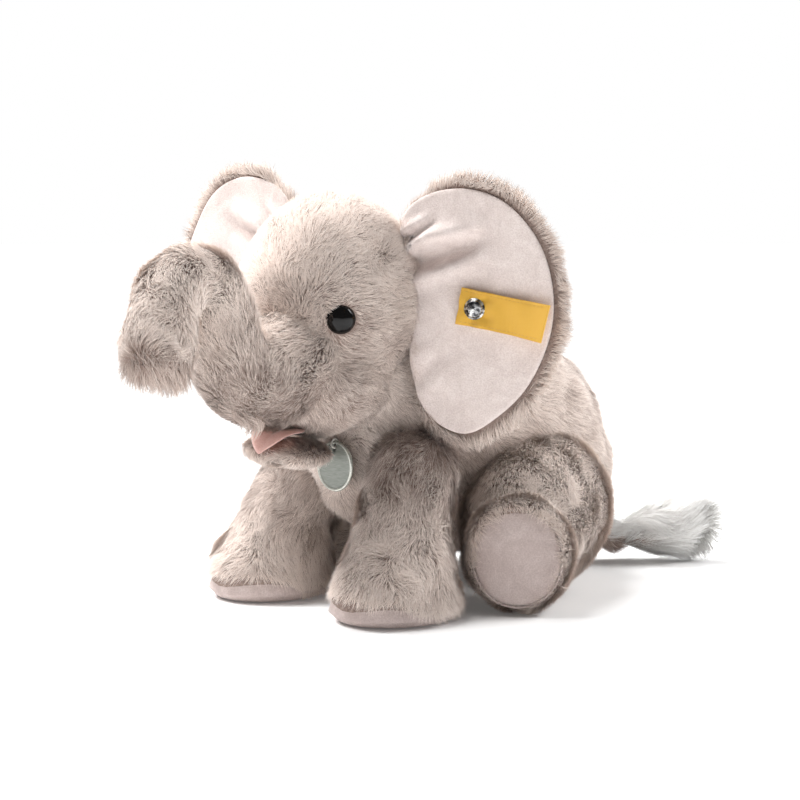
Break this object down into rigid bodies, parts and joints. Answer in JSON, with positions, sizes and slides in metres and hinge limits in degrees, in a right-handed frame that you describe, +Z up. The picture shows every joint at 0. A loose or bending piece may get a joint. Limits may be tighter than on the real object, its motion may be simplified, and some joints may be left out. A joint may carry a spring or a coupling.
{
  "type": "seated stuffed elephant",
  "caption": "Seated soft toy elephant in long fur, with a curled trunk, big velour-lined ears that flap, sprung legs and tail, and a disc hung at the chest.",
  "frame": {"origin": "on the floor, under the middle of the object's box", "axes": "+Z up; the elephant faces -Y and its left side is +X"},
  "size_m": [0.2311, 0.4026, 0.228],
  "materials": {
    "fur": "matte",
    "velour": "matte",
    "filling": "matte",
    "salmon_felt": "matte",
    "tab_cloth": "matte",
    "cord": "matte",
    "tuft_fur": "matte",
    "eye_black": "gloss",
    "washer_plastic": "satin",
    "stud_metal": "gloss",
    "disc_satin": "satin"
  },
  "bodies": {
    "body": {"body_side_left": "fur", "body_side_right": "fur", "body_seat": "fur", "body_filling": "filling", "disc_cord": "cord"},
    "head": {"head_side_left": "fur", "head_side_right": "fur", "head_gusset": "fur", "head_filling": "filling", "lower_lip": "fur", "mouth_lining": "salmon_felt", "eye_left": "eye_black", "eye_right": "eye_black", "eye_washer_left": "washer_plastic", "eye_washer_right": "washer_plastic"},
    "trunk": {"trunk_skin": "fur", "trunk_tip": "fur", "trunk_filling": "filling"},
    "ear_left": {"ear_left_fur": "fur", "ear_left_velour": "velour", "ear_stud": "stud_metal", "ear_stud_washer": "washer_plastic"},
    "ear_tab": {"ear_tab": "tab_cloth"},
    "ear_right": {"ear_right_fur": "fur", "ear_right_velour": "velour"},
    "front_leg_left": {"front_leg_left_skin": "fur", "front_leg_left_sole": "velour", "front_leg_left_filling": "filling"},
    "front_leg_right": {"front_leg_right_skin": "fur", "front_leg_right_sole": "velour", "front_leg_right_filling": "filling"},
    "hind_leg_left": {"hind_leg_left_skin": "fur", "hind_leg_left_sole": "velour", "hind_leg_left_piping": "velour", "hind_leg_left_filling": "filling"},
    "hind_leg_right": {"hind_leg_right_skin": "fur", "hind_leg_right_sole": "velour", "hind_leg_right_piping": "velour", "hind_leg_right_filling": "filling"},
    "tail": {"tail_sleeve": "fur", "tail_tuft": "tuft_fur"},
    "chest_disc": {"chest_disc": "disc_satin"}
  },
  "joints": [
    {"name": "head_nod", "type": "hinge", "parent": "body", "child": "head", "pos_m": [-0.00045, -0.02042, 0.12205], "axis": [0.983, 0.1733, -0.0611], "range_deg": [-8, 3], "stiffness_Nm_per_rad": 6},
    {"name": "trunk_lift", "type": "hinge", "parent": "head", "child": "trunk", "pos_m": [0.01033, -0.07945, 0.12804], "axis": [0.983, 0.1733, -0.0611], "range_deg": [-12, 2], "stiffness_Nm_per_rad": 2},
    {"name": "ear_left_flap", "type": "hinge", "parent": "head", "child": "ear_left", "pos_m": [0.04761, -0.03023, 0.14731], "axis": [0.0601, 0.0106, 0.9981], "range_deg": [-14, 18], "stiffness_Nm_per_rad": 0.3},
    {"name": "ear_right_flap", "type": "hinge", "parent": "head", "child": "ear_right", "pos_m": [-0.03889, -0.04548, 0.15269], "axis": [0.0601, 0.0106, 0.9981], "range_deg": [-18, 14], "stiffness_Nm_per_rad": 0.3},
    {"name": "ear_tab_turn", "type": "hinge", "parent": "ear_left", "child": "ear_tab", "pos_m": [0.07807, -0.01618, 0.15535], "axis": [-0.4221, 0.9064, 0.0158], "range_deg": [-12, 12]},
    {"name": "front_leg_left_swing", "type": "hinge", "parent": "body", "child": "front_leg_left", "pos_m": [0.0431, -0.0247, 0.074], "axis": [1, 0, 0], "range_deg": [-14, 0], "stiffness_Nm_per_rad": 4},
    {"name": "front_leg_right_swing", "type": "hinge", "parent": "body", "child": "front_leg_right", "pos_m": [-0.0309, -0.0247, 0.074], "axis": [1, 0, 0], "range_deg": [-14, 0], "stiffness_Nm_per_rad": 4},
    {"name": "hind_leg_left_lift", "type": "hinge", "parent": "body", "child": "hind_leg_left", "pos_m": [0.0521, 0.0603, 0.046], "axis": [1, 0, 0], "range_deg": [-12, 0], "stiffness_Nm_per_rad": 4},
    {"name": "hind_leg_right_lift", "type": "hinge", "parent": "body", "child": "hind_leg_right", "pos_m": [-0.0399, 0.0603, 0.046], "axis": [1, 0, 0], "range_deg": [-12, 0], "stiffness_Nm_per_rad": 4},
    {"name": "tail_swing", "type": "hinge", "parent": "body", "child": "tail", "pos_m": [0.0061, 0.1383, 0.028], "axis": [0, 0, 1], "range_deg": [-12, 12], "stiffness_Nm_per_rad": 0.2},
    {"name": "disc_swing", "type": "hinge", "parent": "body", "child": "chest_disc", "pos_m": [0.0171, -0.05646, 0.0847], "axis": [1, 0, 0], "range_deg": [-15, 2]}
  ]
}
